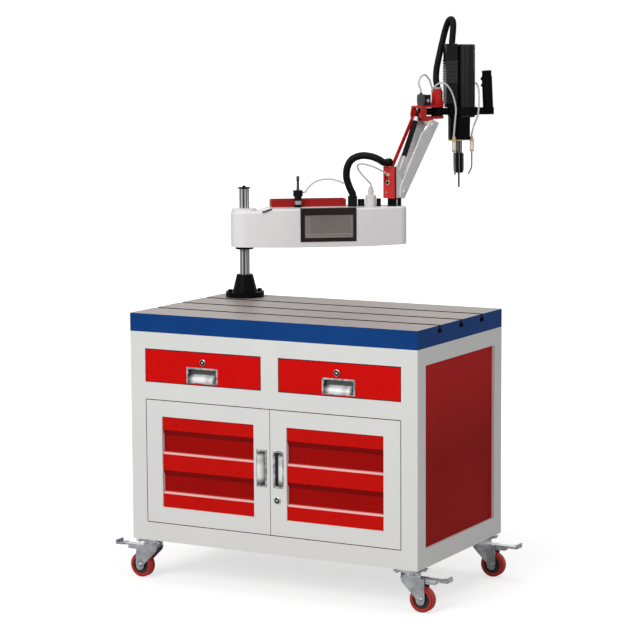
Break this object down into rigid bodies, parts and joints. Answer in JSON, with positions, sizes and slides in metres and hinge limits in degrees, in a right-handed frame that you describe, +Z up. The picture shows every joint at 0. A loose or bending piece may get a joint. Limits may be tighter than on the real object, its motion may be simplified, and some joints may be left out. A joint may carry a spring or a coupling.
{
  "type": "arm tapping machine",
  "caption": "Tapping machine with a column-mounted swing arm, lifting link and tapping head, on a wheeled bench with a slotted worktop, drawers and doors.",
  "frame": {"origin": "centre of the cabinet's footprint, on the floor", "axes": "+Z up, +X along the bench to the right as seen from the drawers, the drawers face -Y"},
  "size_m": [1.17, 1.1929, 1.7663],
  "materials": {
    "white_paint": "satin",
    "red_paint": "gloss",
    "blue_iron": "satin",
    "black_iron": "satin",
    "steel": "brushed",
    "chrome": "polished",
    "zinc": "satin",
    "tread": "matte",
    "white_plastic": "gloss",
    "black_plastic": "matte",
    "glass": "gloss",
    "silver": "satin",
    "black_metal": "satin",
    "hose": "matte",
    "brass": "satin",
    "white_tube": "gloss"
  },
  "bodies": {
    "bench": {"corner_posts": "white_paint", "front_rails": "white_paint", "side_rails": "white_paint", "panels": "red_paint", "inner_panels": "white_paint", "worktop": "blue_iron", "column_base": "black_iron", "column": "chrome", "column_collars": "black_iron", "caster_plates": "zinc"},
    "left_drawer": {"left_drawer_front": "red_paint", "left_drawer_tray": "zinc", "left_drawer_pull": "chrome"},
    "right_drawer": {"right_drawer_front": "red_paint", "right_drawer_tray": "zinc", "right_drawer_pull": "chrome"},
    "left_door": {"left_door_frame": "white_paint", "left_door_panel": "red_paint", "left_door_pull": "chrome"},
    "right_door": {"right_door_frame": "white_paint", "right_door_panel": "red_paint", "right_door_pull": "chrome", "door_lock": "chrome"},
    "caster_fl": {"fork_fl": "zinc"},
    "roller_fl": {"wheel_fl": "tread"},
    "caster_fr": {"fork_fr": "zinc"},
    "roller_fr": {"wheel_fr": "tread"},
    "caster_bl": {"fork_bl": "zinc"},
    "roller_bl": {"wheel_bl": "tread"},
    "caster_br": {"fork_br": "zinc"},
    "roller_br": {"wheel_br": "tread"},
    "arm": {"housing": "white_plastic", "screen_bezel": "black_plastic", "screen_glass": "glass", "parts_tray": "red_paint", "collet": "black_metal", "oil_bottle": "white_plastic", "hose_fittings": "black_plastic", "conduit_lower": "hose", "oil_tube_lower": "white_tube"},
    "link_base": {"pivot_hub": "black_iron", "lower_bracket": "red_paint"},
    "link": {"beam": "silver"},
    "tie": {"tie_rod": "red_paint"},
    "gas_upper": {"gas_tube": "black_iron"},
    "gas_lower": {"gas_rod": "chrome"},
    "link_head": {"end_bracket": "red_paint", "valve_box": "black_plastic"},
    "yaw_bar": {"knuckle": "black_iron"},
    "head": {"head_clamp": "black_iron", "drive_block": "black_metal", "motor": "black_metal", "gearbox": "black_iron", "handle": "black_plastic", "nozzles": "brass", "conduit_upper": "hose", "oil_tube_upper": "white_tube"},
    "spindle_set": {"spindle": "steel", "chuck": "black_metal", "tap": "steel"}
  },
  "joints": [
    {"name": "left_drawer_slide", "type": "slide", "parent": "bench", "child": "left_drawer", "axis": [0, -1, 0], "range_m": [0, 0.35]},
    {"name": "right_drawer_slide", "type": "slide", "parent": "bench", "child": "right_drawer", "axis": [0, -1, 0], "range_m": [0, 0.35]},
    {"name": "left_door_hinge", "type": "hinge", "parent": "bench", "child": "left_door", "pos_m": [-0.4445, -0.2989, 0.386], "axis": [0, 0, 1], "range_deg": [-100, 0]},
    {"name": "right_door_hinge", "type": "hinge", "parent": "bench", "child": "right_door", "pos_m": [0.4445, -0.2989, 0.386], "axis": [0, 0, 1], "range_deg": [0, 100]},
    {"name": "swivel_fl", "type": "hinge", "parent": "bench", "child": "caster_fl", "pos_m": [-0.455, -0.255, 0.11], "axis": [0, 0, 1], "continuous": true},
    {"name": "roll_fl", "type": "hinge", "parent": "caster_fl", "child": "roller_fl", "pos_m": [-0.495, -0.255, 0.039], "axis": [0, 1, 0], "continuous": true},
    {"name": "swivel_fr", "type": "hinge", "parent": "bench", "child": "caster_fr", "pos_m": [0.455, -0.255, 0.11], "axis": [0, 0, 1], "continuous": true},
    {"name": "roll_fr", "type": "hinge", "parent": "caster_fr", "child": "roller_fr", "pos_m": [0.495, -0.255, 0.039], "axis": [0, 1, 0], "continuous": true},
    {"name": "swivel_bl", "type": "hinge", "parent": "bench", "child": "caster_bl", "pos_m": [-0.455, 0.255, 0.11], "axis": [0, 0, 1], "continuous": true},
    {"name": "roll_bl", "type": "hinge", "parent": "caster_bl", "child": "roller_bl", "pos_m": [-0.495, 0.255, 0.039], "axis": [0, 1, 0], "continuous": true},
    {"name": "swivel_br", "type": "hinge", "parent": "bench", "child": "caster_br", "pos_m": [0.455, 0.255, 0.11], "axis": [0, 0, 1], "continuous": true},
    {"name": "roll_br", "type": "hinge", "parent": "caster_br", "child": "roller_br", "pos_m": [0.495, 0.255, 0.039], "axis": [0, 1, 0], "continuous": true},
    {"name": "arm_swing", "type": "hinge", "parent": "bench", "child": "arm", "pos_m": [-0.395, 0.232, 1.08], "axis": [0, 0, 1], "range_deg": [-130, 90]},
    {"name": "link_swing", "type": "hinge", "parent": "arm", "child": "link_base", "pos_m": [0.00796, 0.52801, 1.155], "axis": [0, 0, 1], "range_deg": [-87, 42], "deforming": ["conduit_lower", "oil_tube_lower"]},
    {"name": "link_lift", "type": "hinge", "parent": "link_base", "child": "link", "pos_m": [0.0115, 0.54464, 1.188], "axis": [0.9781, -0.2079, 0], "range_deg": [-65, 6.9]},
    {"name": "tie_turn", "type": "hinge", "parent": "link_base", "child": "tie", "pos_m": [0.00401, 0.50942, 1.23], "axis": [0.9781, -0.2079, 0], "range_deg": [-65, 6.9]},
    {"name": "head_level", "type": "hinge", "parent": "link", "child": "link_head", "pos_m": [0.0429, 0.69238, 1.40452], "axis": [0.9781, -0.2079, 0], "range_deg": [-6.9, 65]},
    {"name": "gas_rod_turn", "type": "hinge", "parent": "link_base", "child": "gas_lower", "pos_m": [0.0088, 0.53192, 1.215], "axis": [0.9781, -0.2079, 0], "range_deg": [-70.3, 7.5]},
    {"name": "gas_tube_turn", "type": "hinge", "parent": "link_head", "child": "gas_upper", "pos_m": [0.03396, 0.65032, 1.43952], "axis": [0.9781, -0.2079, 0], "range_deg": [-70.3, 7.5]},
    {"name": "head_yaw", "type": "hinge", "parent": "link_head", "child": "yaw_bar", "pos_m": [0.056, 0.754, 1.44577], "axis": [0, 0, 1], "range_deg": [-40, 100], "deforming": ["conduit_upper", "oil_tube_upper"]},
    {"name": "head_tilt", "type": "hinge", "parent": "yaw_bar", "child": "head", "pos_m": [0.09047, 0.78293, 1.44577], "axis": [0.766, 0.6428, 0], "range_deg": [-90, 90]},
    {"name": "spindle_turn", "type": "hinge", "parent": "head", "child": "spindle_set", "pos_m": [0.11422, 0.80286, 1.30527], "axis": [0, 0, 1], "continuous": true}
  ],
  "couplings": [
    {"joint": "tie_turn", "follows": "link_lift", "ratio": 1},
    {"joint": "head_level", "follows": "link_lift", "ratio": -1},
    {"joint": "gas_rod_turn", "follows": "link_lift", "ratio": 1.081},
    {"joint": "gas_tube_turn", "follows": "link_lift", "ratio": 1.081}
  ]
}
